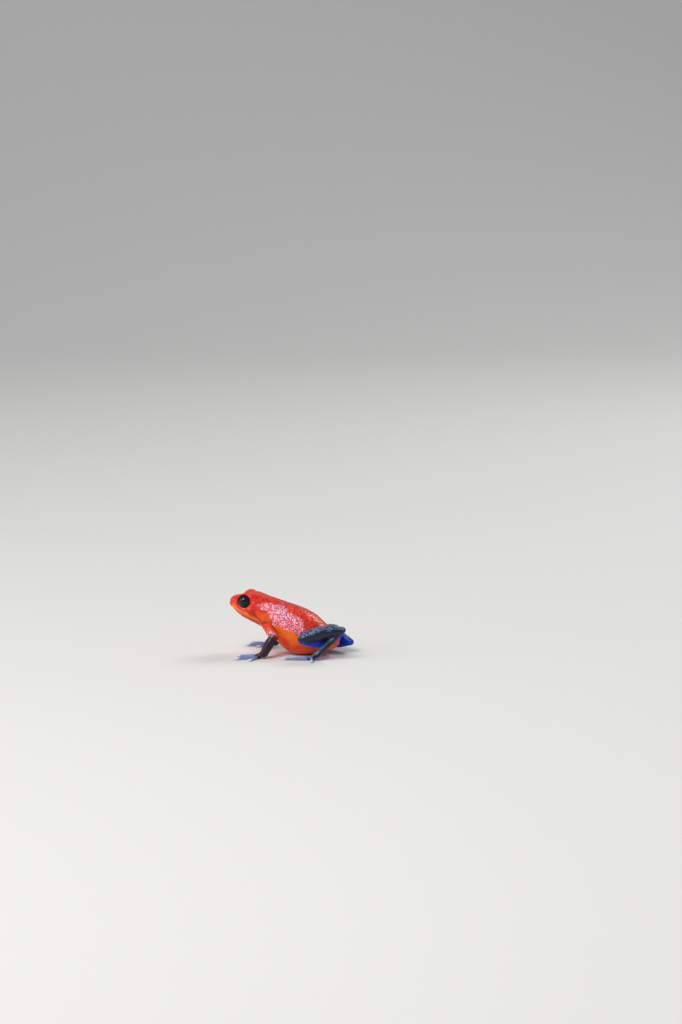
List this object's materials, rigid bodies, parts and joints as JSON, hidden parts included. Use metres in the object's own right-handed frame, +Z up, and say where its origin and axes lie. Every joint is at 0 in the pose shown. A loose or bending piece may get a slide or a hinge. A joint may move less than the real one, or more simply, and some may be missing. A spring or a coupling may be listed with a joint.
{
  "type": "strawberry poison dart frog",
  "caption": "Life-size still model of a small red dart frog with blue legs, sitting with its head raised.",
  "frame": {"origin": "on the ground, under the middle of the frog's bounding box", "axes": "+Z up; the frog looks along -X, and its left side faces -Y"},
  "size_m": [0.023, 0.0178, 0.0113],
  "materials": {
    "red_skin": "moist, finely granular orange-red skin",
    "orange_skin": "moist, granular orange-red skin with small dark flecks",
    "dark_skin": "moist purple-black skin",
    "blue_skin": "moist dark blue skin, brighter on its undersides",
    "eye": "wet black"
  },
  "bodies": {
    "root": {"head": "red_skin", "torso": "orange_skin", "eye_left": "eye", "upper_arm_left": "red_skin", "forearm_left": "dark_skin", "hand_left": "blue_skin", "thigh_left": "blue_skin", "shank_left": "blue_skin", "tarsus_left": "blue_skin", "foot_left": "blue_skin", "eye_right": "eye", "upper_arm_right": "red_skin", "forearm_right": "dark_skin", "hand_right": "blue_skin", "thigh_right": "blue_skin", "shank_right": "blue_skin", "tarsus_right": "blue_skin", "foot_right": "blue_skin"}
  },
  "joints": []
}
